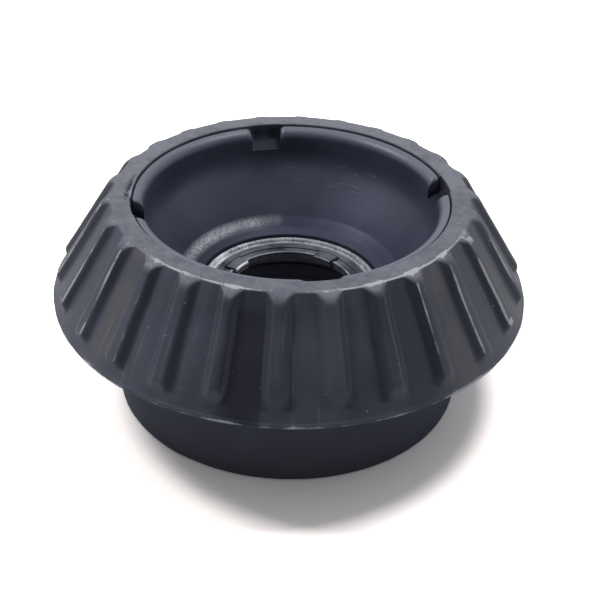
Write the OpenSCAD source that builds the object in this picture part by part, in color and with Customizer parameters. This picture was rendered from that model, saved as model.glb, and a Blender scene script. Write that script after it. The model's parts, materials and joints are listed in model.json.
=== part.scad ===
// Strut mount: a ribbed rubber cone bonded to a steel cup, with a ball thrust bearing in its collar.
// Millimetres. The origin is the centre of the collar's bottom face, and +Z is the strut axis.

/* [Rubber cone] */
// Outside diameter of the skirt's lower edge
skirt_d = 120; // [114:1:126]
// Height of the skirt's lower edge above the collar's bottom
skirt_z = 28.6; // [28:0.1:30]
// Diameter of the cone at the top land, between the ribs
land_d = 88.2; // [87:0.1:90]
// Overall height
mount_h = 54.2; // [53.5:0.1:56]
// Outside diameter of the collar
collar_d = 88.3; // [86:0.1:92]
// Radius of the blend between the collar and the skirt's underside
neck_blend_r = 2; // [1:0.1:3]
// Chamfer on the collar's bottom edge
collar_edge = 0.8; // [0.3:0.1:1.5]

/* [Ribs] */
// Number of ribs on the cone
rib_count = 26; // [20:2:30]
// Height of a rib, square to the cone
rib_h = 1.6; // [1:0.1:2]
// Width of a rib's crest, as an angle about the strut axis
rib_crest_a = 3.6; // [3:0.1:5]
// Slope of a rib's sides, away from square to the cone
rib_draft_a = 35; // [20:1:40]
// Rounding between a rib's sides and the cone
rib_fillet_r = 1.1; // [0.4:0.1:1.2]
// Plain band left on the cone below the ribs, along the slope
rim_band = 2.4; // [1.5:0.1:4]
// Length of a rib's sloping foot, along the slope
rib_foot_l = 2.8; // [1.5:0.1:4]
// Direction of the first rib from +X
first_rib_a = 4.9; // [0:0.1:13]

/* [Cup] */
// Outside diameter of the cup
cup_d = 78; // [77:0.1:79]
// Wall thickness at the cup's mouth
cup_wall = 2.7; // [2:0.1:3]
// Height of the cup's underside
cup_base_z = 26; // [25.5:0.1:26.5]
// Diameter of the hole in the cup's base
cup_hole_d = 46; // [45.8:0.1:47]
// Number of notches in the lip
notch_count = 4; // [2:1:6]
// Width of a notch
notch_w = 8.2; // [4:0.1:12]
// Depth of a notch below the lip's crest
notch_depth = 5.7; // [3:0.1:7]
// Rise of a notch's floor from the cup's inside to the rubber
notch_rise = 2.3; // [0:0.1:2.5]
// Width of the slit between the cup and the top land
slit_w = 0.5; // [0.3:0.1:1]
// Depth of that slit
slit_depth = 4.2; // [2:0.1:5]

/* [Bearing cases] */
// Diameter of the hole through the upper case's neck
neck_hole_d = 32; // [30:0.5:33]
// Diameter of the bore through the lower case
rod_bore_d = 26; // [20:0.5:27]
// Height of the seat face under the lower case
seat_z = 6; // [5:0.1:6.5]
// Diameter of the seat face
seat_d = 70; // [68:0.5:70.5]
// Number of lugs on the neck
lug_count = 4; // [2:1:6]
// Width of a lug
lug_w = 5.2; // [3:0.1:7]
// Length of a lug along the radius
lug_l = 4.4; // [3:0.1:4.8]
// Width of the slot round a lug
lug_slot = 0.35; // [0.2:0.05:0.6]

/* [Balls and races] */
// Number of balls
ball_count = 22; // [16:2:26]
// Diameter of a ball
ball_d = 6; // [5:0.1:6.2]
// Diameter of the circle through the balls' centres
ball_circle_d = 62; // [61.8:0.1:62.2]
// Gap between a ball and its grooves
ball_gap = 0.1; // [0.05:0.01:0.2]
// Gap between a ball and its pocket in the cage
pocket_gap = 0.15; // [0.1:0.01:0.3]
// Height of the balls' centres
ball_z = 16; // [15.9:0.1:16.1]
// Width of a race
race_w = 7.6; // [7:0.1:7.8]
// Thickness of a race
race_t = 3.2; // [2.5:0.1:3.4]

/* [Hidden] */
$fn = 96;
// Spare length that carries a cut past a face
past = 1;

// Names of the balls' nodes, numbered from 01
function ball_name(i) = str("bearing_ball_", i < 10 ? "0" : "", i);

// Cone: its side runs from the skirt's edge up to the top land
skirt_r = skirt_d / 2;
land_r = land_d / 2;
cone_rise = mount_h - skirt_z;
lean_a = atan2(skirt_r - land_r, cone_rise);
slope_l = norm([skirt_r - land_r, cone_rise]);
slope_mid = [(skirt_r + land_r) / 2, (skirt_z + mount_h) / 2];
land_edge_r = 1;
skirt_edge = 0.8;
skirt_drop = 2.2;
collar_r = collar_d / 2;
skirt_root_z = skirt_z - skirt_drop;

// Point at a distance up the cone's slope and a height square to it
function on_slope(along, out) =
    [skirt_r, skirt_z] + along * [-sin(lean_a), cos(lean_a)] + out * [cos(lean_a), sin(lean_a)];

// Ribs: measured from the middle of the slope, across and along the cone
rib_pitch_a = 360 / rib_count;
rib_half_w = (slope_mid[0] + rib_h) * sin(rib_crest_a / 2);
rib_taper_a = atan(sin(lean_a) * sin(rib_crest_a / 2));
rib_root = 1;
rib_sink = 0.3;
rib_flange_w = 2.5;
rib_ease = 0.3;
rib_ease_a = 60;
rib_edge_r = 0.6;
rib_top_r = land_r + rib_h / cos(lean_a);
rib_top_share = 0.94;
rib_top_edge_r = rib_top_share * (rib_h + rib_root) / cos(lean_a) / tan((90 - lean_a) / 2);
rib_foot_slope = rib_foot_l / rib_h;
first_gap_a = first_rib_a + rib_pitch_a / 2;

// Cup: outer corners from the mouth down, shared with the rubber that is bonded to it
cup_r = cup_d / 2;
cup_in_r = cup_r - cup_wall;
cup_hole_r = cup_hole_d / 2;
lip_drop = 0.5;
lip_crest_z = mount_h - lip_drop;
lip_z = lip_crest_z - cup_wall;
notch_z = lip_crest_z - notch_depth;
notch_back_r = cup_r + 1;
notch_slope = notch_rise / (notch_back_r - cup_in_r);
first_notch_a = first_gap_a;
cup_wall_z = 45;
cup_bend_r = 8;
cup_floor_bend_r = 4;
cup_base_r = cup_hole_r + 4.5;
cup_heel = [30.3, 29];
cup_floor = [27.2, 31.6];
cup_rim_w = 1.6;
cup_rim_z = 29.2;
cup_rim_rise = 0.7;
cup_rim_bend_r = 1.5;
cup_outer = [[cup_r, cup_wall_z, cup_bend_r], concat(cup_heel, cup_floor_bend_r),
             [cup_base_r, cup_base_z, 0]];
cup_inner = [[cup_hole_r, cup_rim_z, 0],
             [cup_hole_r + cup_rim_w, cup_rim_z + cup_rim_rise, cup_rim_bend_r],
             concat(cup_floor, cup_floor_bend_r), [cup_in_r, cup_wall_z, cup_bend_r]];

// Bearing: radii and heights of the fits between the cases, the races and the collar
bearing_r = cup_r;
ball_circle_r = ball_circle_d / 2;
race_in_r = ball_circle_r - race_w / 2;
race_out_r = ball_circle_r + race_w / 2;
race_gap = 2.4;
upper_race_z = ball_z + race_gap;
lower_race_z = ball_z - race_gap - race_t;
groove_r = ball_d / 2 + ball_gap;
neck_r = cup_hole_r - 0.3;
neck_z = 28;
neck_hole_r = neck_hole_d / 2;
neck_bead_r = 0.65;
neck_root_r = neck_hole_r + 3;
neck_root_z = 25;
hub_under_z = 22.5;
recess_in_r = neck_hole_r + 0.6;
recess_out_r = neck_hole_r + 2.4;
recess_z = neck_z - 0.4;
hole_edge_z = neck_z - 0.1;
lug_low_z = 26.2;
lug_top_z = neck_z + 0.5;
lug_slot_z = neck_z - 0.7;
first_lug_a = first_notch_a + 180 / lug_count;
seat_r = seat_d / 2;
rod_bore_r = rod_bore_d / 2;
rod_tube_r = rod_bore_r + 3;
web_top_z = seat_z + 3;
rod_tube_z = web_top_z + 3;
lower_rim_z = lower_race_z + race_t;
lower_out_r = race_out_r + 1.6;
lower_in_r = race_in_r - 2.8;
case_gap = 0.7;
hub_blend_r = 1;
web_blend_r = 1.5;
snap_low_z = seat_z + 1.4;
snap_high_z = web_top_z - 0.7;
cage_h = 3;
cage_gap = 0.4;
seal_base_h = 1;
seal_inset = 0.2;
seal_gap = 0.3;
seal_lip_z = upper_race_z - seal_gap;
first_ball_a = first_notch_a;

rubber_color = [0.2, 0.205, 0.235];
cup_color = [0.22, 0.225, 0.25];
case_color = [0.15, 0.15, 0.17];
race_color = [0.62, 0.63, 0.65];
ball_color = [0.78, 0.79, 0.8];
cage_color = [0.85, 0.82, 0.72];
seal_color = [0.1, 0.1, 0.11];

// Outline helpers: a corner is [r, z, blend radius], and a blend becomes an arc of short steps
function unit(v) = v / norm(v);
function turn(a) = a > 180 ? a - 360 : a < -180 ? a + 360 : a;
function blend(from, at, to, r, steps = 5) =
    let (u = unit(from - at), v = unit(to - at), half_a = acos(u * v) / 2)
    let (centre = at + unit(u + v) * r / sin(half_a))
    let (start = at + u * r / tan(half_a) - centre, end = at + v * r / tan(half_a) - centre)
    let (start_a = atan2(start[1], start[0]))
    let (sweep_a = turn(atan2(end[1], end[0]) - start_a))
    [for (i = [0:steps]) let (a = start_a + sweep_a * i / steps) centre + r * [cos(a), sin(a)]];
function flat(corner) = [corner[0], corner[1]];
function outline(corners) =
    let (n = len(corners))
    [for (i = [0:n - 1])
        let (before = flat(corners[(i + n - 1) % n]), at = flat(corners[i]))
        let (after = flat(corners[(i + 1) % n]))
        each corners[i][2] == 0 ? [at] : blend(before, at, after, corners[i][2])];

module revolved(corners) rotate_extrude() polygon(outline(corners));
module ring(in_r, out_r, low_z, high_z)
    rotate_extrude() translate([in_r, low_z]) square([out_r - in_r, high_z - low_z]);
module around(count, first_a = 0) for (i = [0:count - 1]) rotate(first_a + i * 360 / count) children();

// Places a shape on the middle of the slope: its x is square to the cone, and its z runs up the slope
module on_cone() translate([slope_mid[0], 0, slope_mid[1]]) rotate([0, -lean_a, 0]) children();

// Half of a rib, from beyond its far side to one sloping side that follows the crest's edge
module rib_side() {
    slope = tan(rib_draft_a);
    root_w = rib_half_w + (rib_h + rib_sink) * slope;
    eased_w = rib_half_w + rib_ease * slope;
    above = rib_root / 2;
    far_w = -2 * rib_flange_w - root_w;
    rotate([-rib_taper_a, 0, 0])
        linear_extrude(2 * slope_l, center = true)
            polygon(outline([
                [-rib_root, far_w, 0], [-rib_root, root_w + rib_flange_w, 0],
                [-rib_sink, root_w + rib_flange_w, 0], [-rib_sink, root_w, rib_fillet_r],
                [rib_h - rib_ease, eased_w, 0],
                [rib_h + above, eased_w - (rib_ease + above) * tan(rib_ease_a), 0],
                [rib_h + above, far_w, 0]]));
}

module rib() on_cone() intersection() {
    rib_side();
    mirror([0, 1, 0]) rib_side();
}

// Ring that holds all the ribs, with their sloping feet and rounded tops
module rib_ring() revolved([
    concat(on_slope(rim_band - rib_root * rib_foot_slope, -rib_root), 0),
    concat(on_slope(rim_band + rib_foot_l, rib_h), rib_edge_r),
    [rib_top_r, mount_h, rib_top_edge_r], [land_r - rib_root / cos(lean_a), mount_h, 0]]);

// Space that a lip notch takes out of the cup and, behind it, out of the rubber
module notch() rotate([90, 0, 0]) linear_extrude(notch_w, center = true) polygon([
    [cup_in_r - past, notch_z - past * notch_slope], [notch_back_r, notch_z + notch_rise],
    [notch_back_r, mount_h + past], [cup_in_r - past, mount_h + past]]);

// Race groove that the balls run in
module ball_groove() rotate_extrude() translate([ball_circle_r, ball_z]) circle(groove_r);

module rubber_cone() color(rubber_color) difference() {
    union() {
        revolved(concat(
            [[bearing_r, 0, 0], [collar_r - collar_edge, 0, 0], [collar_r, collar_edge, 0],
             [collar_r, skirt_root_z, neck_blend_r],
             [skirt_r - skirt_edge, skirt_z - skirt_edge / 2, 0], [skirt_r, skirt_z, 0],
             [land_r, mount_h, land_edge_r], [cup_r + slit_w, mount_h, 0],
             [cup_r + slit_w, mount_h - slit_depth, 0], [cup_r, mount_h - slit_depth, 0]],
            cup_outer, [[bearing_r, cup_base_z, 0]]));
        intersection() {
            rib_ring();
            around(rib_count, first_rib_a) rib();
        }
    }
    around(notch_count, first_notch_a) notch();
}

module strut_cup() color(cup_color) difference() {
    union() {
        revolved(concat([[cup_hole_r, cup_base_z, 0]], cup_inner,
            [[cup_in_r, lip_z, 0], [cup_r, lip_z, 0]], cup_outer));
        rotate_extrude() intersection() {
            translate([cup_r, lip_z]) circle(cup_wall);
            translate([cup_in_r, lip_z]) square(cup_wall);
        }
    }
    around(notch_count, first_notch_a) notch();
}

// Plate on the neck that reaches into its hole, and the pocket that leaves a slot round it
module lug_plate(margin, low_z) translate([recess_out_r - lug_l, -lug_w / 2 - margin, low_z])
    cube([lug_l + margin, lug_w + 2 * margin, lug_top_z - low_z]);

module bearing_upper_case() color(case_color) {
    skirt_in_r = lower_out_r + case_gap;
    snap_in_r = seat_r + case_gap;
    inner_rim_r = lower_in_r + case_gap;
    race_roof_z = upper_race_z + race_t;
    difference() {
        revolved([
            [neck_hole_r, neck_root_z, 0], [neck_root_r, neck_root_z, 0],
            [neck_root_r, hub_under_z, hub_blend_r], [inner_rim_r, hub_under_z, hub_blend_r],
            [inner_rim_r, upper_race_z, 0], [race_in_r, upper_race_z, 0], [race_in_r, race_roof_z, 0],
            [race_out_r, race_roof_z, 0], [race_out_r, upper_race_z, 0], [skirt_in_r, upper_race_z, 0],
            [skirt_in_r, web_top_z, 0], [snap_in_r, snap_high_z, 0], [snap_in_r, snap_low_z, 0],
            [bearing_r, snap_low_z, 0], [bearing_r, cup_base_z, 0], [neck_r, cup_base_z, 0],
            [neck_r, neck_z, 0], [recess_out_r, neck_z, 0], [recess_out_r, recess_z, 0],
            [recess_in_r, recess_z, 0], [recess_in_r, hole_edge_z, 0], [neck_hole_r, hole_edge_z, 0]]);
        around(lug_count, first_lug_a) lug_plate(lug_slot, lug_slot_z);
    }
    rotate_extrude() translate([neck_r - neck_bead_r, neck_z]) circle(neck_bead_r);
    around(lug_count, first_lug_a) lug_plate(0, lug_low_z);
}

module bearing_upper_race() color(race_color) difference() {
    ring(race_in_r, race_out_r, upper_race_z, upper_race_z + race_t);
    ball_groove();
}

module bearing_lower_race() color(race_color) difference() {
    ring(race_in_r, race_out_r, lower_race_z, lower_race_z + race_t);
    ball_groove();
}

module bearing_ball(i) color(ball_color) rotate(first_ball_a + (i - 1) * 360 / ball_count)
    translate([ball_circle_r, 0, ball_z]) sphere(d = ball_d);

module ball_cage() color(cage_color) difference() {
    ring(race_in_r + cage_gap, race_out_r - cage_gap, ball_z - cage_h / 2, ball_z + cage_h / 2);
    around(ball_count, first_ball_a)
        translate([ball_circle_r, 0, ball_z]) sphere(ball_d / 2 + pocket_gap);
}

module bearing_lower_case() color(case_color) revolved([
    [rod_bore_r, seat_z, 0], [seat_r, seat_z, 0], [seat_r, web_top_z, 0], [lower_out_r, web_top_z, 0],
    [lower_out_r, lower_rim_z, 0], [race_out_r, lower_rim_z, 0], [race_out_r, lower_race_z, 0],
    [race_in_r, lower_race_z, 0], [race_in_r, lower_rim_z, 0], [lower_in_r, lower_rim_z, 0],
    [lower_in_r, web_top_z, web_blend_r], [rod_tube_r, web_top_z, hub_blend_r], [rod_tube_r, rod_tube_z, 0],
    [rod_bore_r, rod_tube_z, 0]]);

// Lip seal that stands on a rim of the lower case and all but touches the upper case
module lip_seal(base_in_r, base_out_r) color(seal_color) {
    lip_r = (base_in_r + base_out_r) / 2;
    lip_root = 0.35;
    lip_tip = 0.2;
    lip_root_r = 0.2;
    base_z = lower_rim_z + seal_base_h;
    revolved([
        [base_in_r, lower_rim_z, 0], [base_out_r, lower_rim_z, 0], [base_out_r, base_z, 0],
        [lip_r + lip_root, base_z, lip_root_r], [lip_r + lip_tip, seal_lip_z, 0],
        [lip_r - lip_tip, seal_lip_z, 0], [lip_r - lip_root, base_z, lip_root_r], [base_in_r, base_z, 0]]);
}

module inner_seal() lip_seal(lower_in_r + seal_inset, race_in_r - seal_inset);
module outer_seal() lip_seal(race_out_r + seal_inset, lower_out_r);

rubber_cone();
strut_cup();
bearing_upper_case();
bearing_upper_race();
ball_cage();
bearing_lower_race();
bearing_lower_case();
inner_seal();
outer_seal();
for (i = [1:ball_count]) bearing_ball(i);
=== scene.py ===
"""Strut mount: the looks of its ribbed rubber cone, its steel cup and the thrust bearing in its collar."""
import json
import math
from functools import partial
from typing import NamedTuple

import bmesh
import bpy
from bpy.props import FloatProperty, FloatVectorProperty, IntProperty, PointerProperty
from mathutils import Matrix, Vector, noise


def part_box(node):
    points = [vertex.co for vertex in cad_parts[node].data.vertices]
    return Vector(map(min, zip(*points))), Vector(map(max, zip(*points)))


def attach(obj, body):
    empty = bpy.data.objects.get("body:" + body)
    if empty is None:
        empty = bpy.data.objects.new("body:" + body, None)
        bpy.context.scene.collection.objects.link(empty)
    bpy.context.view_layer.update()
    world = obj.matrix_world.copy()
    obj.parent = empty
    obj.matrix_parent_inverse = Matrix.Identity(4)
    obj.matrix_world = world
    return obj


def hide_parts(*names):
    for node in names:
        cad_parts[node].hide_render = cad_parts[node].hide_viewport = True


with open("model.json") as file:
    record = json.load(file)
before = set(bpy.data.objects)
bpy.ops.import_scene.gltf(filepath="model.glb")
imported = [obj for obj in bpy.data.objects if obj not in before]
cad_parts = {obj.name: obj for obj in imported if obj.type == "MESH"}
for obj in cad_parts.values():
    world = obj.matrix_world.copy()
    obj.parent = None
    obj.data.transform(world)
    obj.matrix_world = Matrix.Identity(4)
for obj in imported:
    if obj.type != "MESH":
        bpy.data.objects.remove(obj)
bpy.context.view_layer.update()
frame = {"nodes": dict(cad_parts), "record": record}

bl_info = {
    "name": "Strut mount",
    "version": (1, 0, 0),
    "blender": (4, 5, 0),
    "location": "3D View > Sidebar > Strut mount",
    "description": "Builds the surfaces of a ribbed rubber strut mount round its packed solids",
    "category": "Add Mesh",
}

MM = 0.001

# Places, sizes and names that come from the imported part
MOUNT_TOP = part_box("rubber_cone")[1].z
CUP_LOW, CUP_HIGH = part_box("strut_cup")
CUP_RADIUS = CUP_HIGH.x
CASE_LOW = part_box("bearing_upper_case")[0]
TURN_LOW, TURN_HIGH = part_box("bearing_lower_case")
RACE_LOW, RACE_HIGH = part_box("bearing_lower_race")
ROD_BORE = next(m for m in frame["record"]["mounts"] if m["name"] == "rod_bore")
ROD_RADIUS = ROD_BORE["dims"]["r_mm"] * MM
BALLS = sorted(name for name in frame["nodes"] if name.startswith("bearing_ball_"))

# Radius of the ring of balls, and radius and height of the points of the face between the cup and the rubber
BALL_RING = 31 * MM
BONDED_FACE = ((CUP_RADIUS, 45 * MM), (30.3 * MM, 29 * MM), (27.5 * MM, CUP_LOW.z))

# Columns of the meshes from a rib's middle in degrees, and as shares of half a notch, a lug and a lug's slot
RIB_COLUMNS = (0.9, 1.25, 1.55, 1.85, 2.15, 2.45, 2.75, 3.05, 3.4, 3.8, 4.3, 4.85)
NOTCH_COLUMNS = (0.3, 0.65, 0.88, 0.99, 1.01, 1.03, 1.06, 1.1, 1.16, 1.23, 1.3, 1.6, 2)
LUG_COLUMNS = (0.35, 0.7, 0.92)
SLOT_COLUMNS = (1.3, 1.6)
COLUMN_STEP = math.radians(0.12)

# Marks in the materials on one side only: direction from +X and half the angle that each spans
OILY_GAP = (math.radians(-100.5), math.radians(5.5))
# Painted glints: a pale speckled band on the base's fillet, on its left
PAINTED_GLINT_SIDE = (math.radians(150), math.radians(56))
WIPED_SIDE = (math.radians(74), math.radians(24))

# Marks in the meshes: strength, direction from +X and half the angle that each spans, in degrees
SOFT_FEET = ((1.4, -85, 50),)
TORN_SLIT = ((0.7, 52, 20), (0.7, 124, 22))
TEAR = ((1, 178, 17),)
TORN_EDGE = ((1, 178, 14),)
# Painted shade on both flanks of the front ribs
PAINTED_SHADE_FRONT = ((0.6, -80, 40),)
RUBBED_FLASH = ((0.7, -45, 16), (0.7, -103, 6))
# Painted highlights on the land's rim, on the ribs' feet and along the crest edges that turn to the front
PAINTED_RIM_HIGHLIGHT = ((1.5, -50, 45), (1, -118, 35))
PAINTED_FOOT_HIGHLIGHTS = ((0.9, -22, 20), (0.5, -150, 25))
PAINTED_CREST_HIGHLIGHTS = ((2, -160, 50), (2, -25, 45))
# Painted highlight on the neck's bead and painted glints on the lugs
PAINTED_BEAD_HIGHLIGHT = ((0.65, 165, 70),)
PAINTED_LUG_GLINTS = ((1.5, 147, 40),)

# Directions of the browned gaps, the dark gaps and the front, and half of what a gap spans, in degrees
BROWN_GAPS = (-140.5, -43.5, -16)
DARK_GAPS = (-57, -99)
FRONT = -75
GAP_HALF = 9

# Painted shade on a rib's flank, aside from the rib's middle, and a painted highlight line, aside from its
# crest, with half the width of each
PAINTED_SHADE_ASIDE = math.radians(2.9)
PAINTED_SHADE_HALF = math.radians(1.7)
HIGHLIGHT_ASIDE = math.radians(0.25)
HIGHLIGHT_HALF = math.radians(0.65)

# Features a metre of the noises that scatter those marks and the moulded surface
ROUGH_SCALE = 260
BLOTCH_SCALE = 70
NECK_SCALE = 300
DRIFT_SCALE = 75
FINE_DRIFT_SCALE = 190
SWAY_SCALE = 110

# Radius of the drum on which patterns run round the axis, and tints of gloss
DRUM_RADIUS = 50 * MM
COOL_GLOSS = (0.8, 0.87, 1, 1)
PLASTIC_GLOSS = (0.86, 0.91, 1, 1)

# Stage: colours, the lamps' names, places, powers and size, half the floor's side and its own faint light
SKY_COLOUR = (0.93, 0.96, 1, 1)
WARM_WHITE = (1, 0.94, 0.91)
LAMPS = (("left", (-0.41, 0.05, 0.58), 2.3), ("right", (0.2, 0.05, 0.64), 1.9))
LAMP_SIZE = 0.14
FLOOR_HALF = 4
FLOOR_GLOW = 0.02


def length(name, description, default):
    """A size that the user can change. Its default is given in millimetres."""
    return FloatProperty(name=name, description=description, default=default * MM, unit="LENGTH", precision=5)


def degrees(name, description, default):
    """An angle that the user can change. Its default is given in degrees."""
    return FloatProperty(name=name, description=description, default=math.radians(default), subtype="ANGLE")


def colour(name, wearer, default):
    """A linear colour that the user can change, described by what has it."""
    description = "Colour of " + wearer
    return FloatVectorProperty(
        name=name, description=description, default=default, subtype="COLOR", size=3, min=0, max=1
    )


class RubberSettings(bpy.types.PropertyGroup):
    """Sizes and colours of the ribbed rubber cone."""

    skirt_radius: length("Skirt radius", "Radius of the skirt's lower edge", 59.6)
    skirt_height: length("Skirt height", "Height of the skirt's lower edge", 28.6)
    land_radius: length("Land radius", "Radius of the cone at the top land, between the ribs", 44.1)
    land_round: length("Land rounding", "Rounding of the top land's outer edge between the ribs", 0.95)
    rib_round: length("Rib rounding", "Rounding from the top land over a rib's top", 5.2)
    collar_radius: length("Collar radius", "Outside radius of the collar", 44.15)
    rib_count: IntProperty(name="Ribs", description="Number of ribs on the cone", default=26)
    rib_height: length("Rib height", "Height of a rib, square to the cone", 1.6)
    first_rib: degrees("First rib", "Direction of the first rib from +X", 4.9)
    crest_half: degrees("Rib crest", "Half the angle that a rib's crest spans", 0.9)
    foot_half: degrees("Rib base", "Half the angle that a rib's base spans", 3.7)
    foot_spread: degrees("Rib spread", "How much wider the base is on each side just below the top land", 0.7)
    rim_band: length("Rim band", "Plain band below the ribs, along the slope", 2.2)
    rib_foot: length("Rib foot", "Length of a rib's sloping foot", 3.4)
    slit_width: length("Slit width", "Width of the slit between the cup and the top land", 0.27)
    slit_depth: length("Slit depth", "Depth of that slit", 4.2)
    wobble: length("Wobble", "How far the moulded surface wanders from true", 0.11)
    flash: length("Flash", "How far the moulding flash stands out of the skirt's edge", 0.35)
    rubber: colour("Rubber", "clean rubber", (0.028, 0.03, 0.045))
    bloom: colour("Bloom", "the grey bloom on the rubber", (0.056, 0.06, 0.083))
    brown: colour("Brown gaps", "the gaps that have browned", (0.085, 0.075, 0.075))
    # Colour of the oily gaps, also used for the painted shade on the rib flanks
    dark: colour("Dark gaps", "grime and of the gaps that are oily", (0.017, 0.016, 0.024))
    stain: colour("Stains", "small stains", (0.052, 0.048, 0.053))
    collar: colour("Collar", "the film on the collar", (0.12, 0.125, 0.16))
    dust: colour("Dust", "the dusty top land", (0.15, 0.155, 0.175))
    # Pale colour of the flash, scratches and dots, also used for the painted highlights on the rim, rib tips,
    # feet and crest edges
    scuff_and_highlight: colour("Scuff", "rubbed edges and flash", (0.36, 0.37, 0.4))


class CupSettings(bpy.types.PropertyGroup):
    """Sizes and colours of the steel cup."""

    wall: length("Wall", "Wall thickness at the cup's mouth", 2.7)
    hole_radius: length("Hole radius", "Radius of the hole in the cup's base", 23)
    notch_count: IntProperty(name="Notches", description="Number of notches in the lip", default=4)
    notch_width: length("Notch width", "Width of a notch in the lip", 8.2)
    notch_depth: length("Notch depth", "Depth of a notch below the lip's crest", 5.7)
    notch_rise: length("Notch rise", "How far a notch's floor rises towards the rubber", 2.3)
    notch_round: length("Notch rounding", "Rounding of the lip's ends beside a notch", 1.6)
    coat: colour("Coat", "the black coat", (0.043, 0.045, 0.071))
    # Pale colour of the wiped coat, also used for the painted highlight on the lip
    wiped: colour("Wiped coat", "the coat where it is rubbed or dusty", (0.17, 0.175, 0.2))
    # Colour of the painted glints on the base's fillet
    painted_glints: colour("Grains", "the pale grains in the left of the base", (0.62, 0.63, 0.68))


class BearingSettings(bpy.types.PropertyGroup):
    """Sizes and colours of the bearing in the collar."""

    neck_hole: length("Neck hole", "Radius of the hole through the upper case's neck", 16)
    neck_height: length("Neck height", "Height of the neck's upper face", 28)
    lug_count: IntProperty(name="Lugs", description="Number of lugs on the neck", default=4)
    lug_width: length("Lug width", "Width of a lug", 5.2)
    lug_reach: length("Lug reach", "How far a lug reaches into the neck's hole", 1)
    lug_slot: length("Lug slot", "Width of the slot beside a lug", 0.35)
    plastic: colour("Upper case", "the upper case", (0.02, 0.021, 0.031))
    lower: colour("Lower case", "the lower case", (0.15, 0.155, 0.18))
    # Colour of the haze on the cases, also the painted sheen on their upward faces
    grease: colour("Haze", "the haze on the bearing cases", (0.11, 0.115, 0.135))
    # Pale colour of the neck's bead and hole edge, also of its painted highlights and of the painted light on
    # the hole's wall
    rubbed_and_highlit: colour("Rubbed plastic", "the neck's rubbed edges", (0.55, 0.56, 0.6))
    # Colour of the painted glints on the lugs
    bright: colour("Bright plastic", "the bright strokes on the lugs", (0.95, 0.95, 1))
    steel: colour("Race steel", "the ground races", (0.5, 0.51, 0.53))
    ball: colour("Ball steel", "the polished balls", (0.7, 0.71, 0.72))
    nylon: colour("Cage nylon", "the ball cage", (0.66, 0.6, 0.46))
    seal: colour("Seal rubber", "the lip seals", (0.2, 0.21, 0.27))


class StageSettings(bpy.types.PropertyGroup):
    """Camera, floor and light."""

    target: FloatVectorProperty(
        name="Target",
        description="Point that the camera looks at",
        default=(2.775 * MM, 0, 23.159 * MM),
        subtype="TRANSLATION",
        unit="LENGTH",
    )
    distance: length("Distance", "Distance from the camera to its target", 349.2)
    elevation: degrees("Elevation", "Angle of the camera above the floor", 33.35)
    roll: degrees("Roll", "Turn of the camera about its line of sight", 1.66)
    lens: FloatProperty(name="Lens", description="Focal length in millimetres", default=81, unit="CAMERA")
    floor: colour("Floor", "the floor as the object is lit by it", (0.45, 0.44, 0.43))
    sky: FloatProperty(name="Sky", description="Strength of the light from all round", default=0.33)
    white: FloatProperty(name="White", description="How white the camera sees the floor", default=1.9)


# Outlines: a section is a closed list of points (radius, height), and a corner is (radius, height, rounding)


def smooth(t):
    """Goes from 0 to 1 with level ends as t does."""
    t = min(max(t, 0.0), 1.0)
    return t * t * (3 - 2 * t)


def ramp(t):
    """Goes from 0 to 1 as t does, in a straight line with rounded ends."""
    ease = 0.4
    t = min(max(t, 0.0), 1.0)
    if t > 0.5:
        return 1 - ramp(1 - t)
    return (t * t / (2 * ease) if t < ease else t - ease / 2) / (1 - ease)


def hump(angle, centre, half):
    """Rises from 0 to 1 and falls again round a direction. The centre and half the width are in degrees."""
    away = math.remainder(math.degrees(angle) - centre, 360)
    return smooth(1 - abs(away) / half)


def humps(angle, marks):
    """The strength of a group of marks at an angle."""
    return sum(strength * hump(angle, centre, half) for strength, centre, half in marks)


def even(start, end, steps):
    """Points on a straight line after its start, up to its end."""
    start = Vector(start)
    end = Vector(end)
    return [start.lerp(end, i / steps) for i in range(1, steps + 1)]


def rounded(before, at, after, radius, steps=5):
    """Points of the arc that rounds the corner at a point between two others."""
    at = Vector(at)
    u = (Vector(before) - at).normalized()
    v = (Vector(after) - at).normalized()
    half = math.acos(max(-1.0, min(1.0, u.dot(v)))) / 2
    centre = at + (u + v).normalized() * (radius / math.sin(half))
    first = at + u * (radius / math.tan(half)) - centre
    last = at + v * (radius / math.tan(half)) - centre
    start = math.atan2(first.y, first.x)
    sweep = math.remainder(math.atan2(last.y, last.x) - start, 2 * math.pi)
    angles = [start + sweep * i / steps for i in range(steps + 1)]
    return [centre + radius * Vector((math.cos(a), math.sin(a))) for a in angles]


def outline(corners, longest=None):
    """The points of a closed outline, with its corners rounded and its long sides divided."""
    points = []
    count = len(corners)
    for i, (r, z, rounding) in enumerate(corners):
        if rounding:
            points += rounded(corners[i - 1][:2], (r, z), corners[(i + 1) % count][:2], rounding)
        else:
            points.append(Vector((r, z)))
    if longest is None:
        return points
    divided = []
    for start, end in zip(points, points[1:] + points[:1]):
        divided.append(start)
        divided += even(start, end, max(1, round((end - start).length / longest)))[:-1]
    return divided


def away_from(angle, first, pitch):
    """Angle to the nearest of a round of places, and that place's number."""
    number = round((angle - first) / pitch)
    return angle - first - number * pitch, number


def pitch_of(count):
    """Angle between neighbours of so many like places round the axis."""
    return 2 * math.pi / count


def both_sides(half):
    """Angles from one side of a place to the other, from those on one side."""
    return [-a for a in reversed(half[1:])] + list(half)


def evenly_to(end, half, steps):
    """Even angles from the last of a list to an end."""
    return [half[-1] + (end - half[-1]) * i / steps for i in range(1, steps + 1)]


# Meshes


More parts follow.
